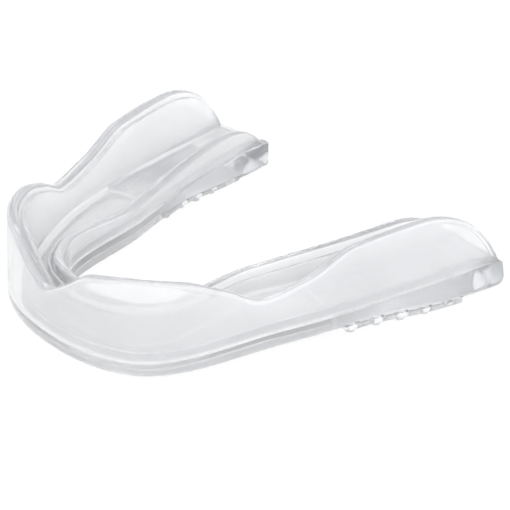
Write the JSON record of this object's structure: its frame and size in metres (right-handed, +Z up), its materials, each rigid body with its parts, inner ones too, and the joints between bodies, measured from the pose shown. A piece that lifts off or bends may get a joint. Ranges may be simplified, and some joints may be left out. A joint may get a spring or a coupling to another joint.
{
  "type": "mouthguard",
  "caption": "Clear boil-and-bite mouthguard: a U-shaped tooth trough with a tall notched lip flange, a low tongue-side wall and studded pads under the molars.",
  "frame": {"origin": "on the plane the guard stands on, under the middle of its bounding box", "axes": "+Z up out of the tooth trough, -Y towards the lips at the front, +Y towards the ends of the arms, +X towards the arm that is on the right when looking from the front towards the arms' ends; X = 0 is the mirror plane"},
  "size_m": [0.064, 0.0602, 0.0153],
  "materials": {
    "clear_shell": "glossy",
    "soft_liner": "satin",
    "firm_frame": "glossy",
    "molar_pad": "satin"
  },
  "bodies": {
    "root": {"outer_shell": "clear_shell", "fit_liner": "soft_liner", "bite_frame": "firm_frame", "molar_pad_left": "molar_pad", "molar_pad_right": "molar_pad"}
  },
  "joints": []
}
